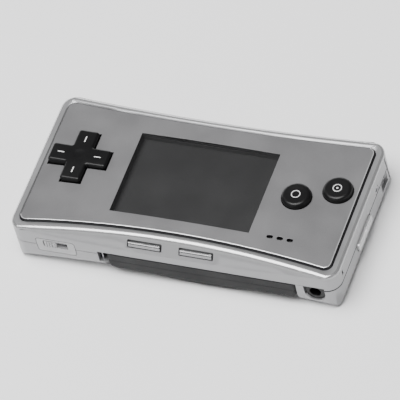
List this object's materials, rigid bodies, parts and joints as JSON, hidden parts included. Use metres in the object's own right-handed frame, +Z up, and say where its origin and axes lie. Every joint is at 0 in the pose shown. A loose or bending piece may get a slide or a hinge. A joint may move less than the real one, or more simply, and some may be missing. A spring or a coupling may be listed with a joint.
{
  "type": "handheld game console",
  "caption": "Small oblong silver handheld game console with display, cross pad, round buttons and a dark cartridge in its front slot.",
  "frame": {"origin": "middle of the body, on the surface it stands on", "axes": "+X along the length to the right-hand end, +Y away from the player, +Z up out of the faceplate"},
  "size_m": [0.1026, 0.0514, 0.0181],
  "materials": {
    "shell": "satin silver paint on light alloy",
    "plate": "clear plastic over satin silver-grey print",
    "window": "clear plastic",
    "gasket": "black foam",
    "display": "dark display",
    "steel": "plated steel",
    "board": "green solder mask",
    "black": "black plastic",
    "dark": "black moulded plastic",
    "membrane": "grey silicone",
    "clear_bar": "silver-backed clear plastic",
    "light": "light grey plastic",
    "cartridge": "dark grey textured plastic",
    "label": "plain paper",
    "brass": "plated brass",
    "battery": "blue wrap"
  },
  "bodies": {
    "console": {"back_shell": "shell", "front_shell": "shell", "display_gasket": "gasket", "display_module": "display", "display_tray": "steel", "main_board": "board", "d_pad_membrane": "membrane", "button_membrane": "membrane", "start_select_membrane": "membrane", "shoulder_pin_left": "steel", "shoulder_pin_right": "steel", "shoulder_switch_left": "dark", "shoulder_switch_right": "dark", "volume_rocker_pin": "steel", "volume_switch": "dark", "power_switch_panel": "light", "power_switch": "dark", "headphone_jack": "black", "headphone_contacts": "brass", "cartridge_socket": "dark", "socket_contacts": "brass", "extension_connector": "dark", "battery": "battery", "battery_contacts": "brass", "speaker": "dark", "case_screws": "steel", "side_screws": "steel", "faceplate_latches": "steel", "strap_bar": "steel"},
    "faceplate": {"faceplate": "plate", "display_window": "window"},
    "pad_pivot": {"d_pad_pivot": "dark"},
    "pad": {"d_pad": "black"},
    "button_a": {"button_a": "black"},
    "button_b": {"button_b": "black"},
    "start_button": {"start_button": "clear_bar"},
    "select_button": {"select_button": "clear_bar"},
    "shoulder_left": {"shoulder_button_left": "shell"},
    "shoulder_right": {"shoulder_button_right": "shell"},
    "volume_rocker": {"volume_rocker": "light"},
    "power_knob": {"power_knob": "light"},
    "cartridge": {"cartridge_lower_half": "cartridge", "cartridge_upper_half": "cartridge", "cartridge_board": "board", "cartridge_label": "label", "cartridge_screw": "steel"}
  },
  "joints": [
    {"name": "faceplate_lift", "type": "slide", "parent": "console", "child": "faceplate", "axis": [0, 0, 1], "range_m": [0, 0.012]},
    {"name": "pad_tilt_sideways", "type": "hinge", "parent": "console", "child": "pad_pivot", "pos_m": [-0.03745, 0.0021, 0.0122], "axis": [0, 1, 0], "range_deg": [-3, 3], "stiffness_Nm_per_rad": 0.13},
    {"name": "pad_tilt_lengthways", "type": "hinge", "parent": "pad_pivot", "child": "pad", "pos_m": [-0.03745, 0.0021, 0.0122], "axis": [1, 0, 0], "range_deg": [-3, 3], "stiffness_Nm_per_rad": 0.13, "deforming": ["d_pad_membrane"]},
    {"name": "button_a_press", "type": "slide", "parent": "console", "child": "button_a", "axis": [0, 0, -1], "range_m": [0, 0.0008], "stiffness_N_per_m": 1000, "deforming": ["button_membrane"]},
    {"name": "button_b_press", "type": "slide", "parent": "console", "child": "button_b", "axis": [0, 0, -1], "range_m": [0, 0.0008], "stiffness_N_per_m": 1000, "deforming": ["button_membrane"]},
    {"name": "start_press", "type": "slide", "parent": "console", "child": "start_button", "axis": [0, 0.8, -0.6], "range_m": [0, 0.0005], "stiffness_N_per_m": 1500, "deforming": ["start_select_membrane"]},
    {"name": "select_press", "type": "slide", "parent": "console", "child": "select_button", "axis": [0, 0.8, -0.6], "range_m": [0, 0.0005], "stiffness_N_per_m": 1500, "deforming": ["start_select_membrane"]},
    {"name": "shoulder_left_press", "type": "hinge", "parent": "console", "child": "shoulder_left", "pos_m": [-0.0306, 0.0224, 0.0082], "axis": [0, 0, 1], "range_deg": [0, 1.2], "stiffness_Nm_per_rad": 1},
    {"name": "shoulder_right_press", "type": "hinge", "parent": "console", "child": "shoulder_right", "pos_m": [0.0306, 0.0224, 0.0082], "axis": [0, 0, 1], "range_deg": [-1.2, 0], "stiffness_Nm_per_rad": 1},
    {"name": "volume_rock", "type": "hinge", "parent": "console", "child": "volume_rocker", "pos_m": [0.0481, -0.0018, 0.007], "axis": [0, 0, 1], "range_deg": [-3, 3], "stiffness_Nm_per_rad": 0.1},
    {"name": "power_slide", "type": "slide", "parent": "console", "child": "power_knob", "axis": [1, 0, 0], "range_m": [0, 0.0034]},
    {"name": "cartridge_slide", "type": "slide", "parent": "console", "child": "cartridge", "axis": [0, -1, 0], "range_m": [0, 0.036]}
  ]
}
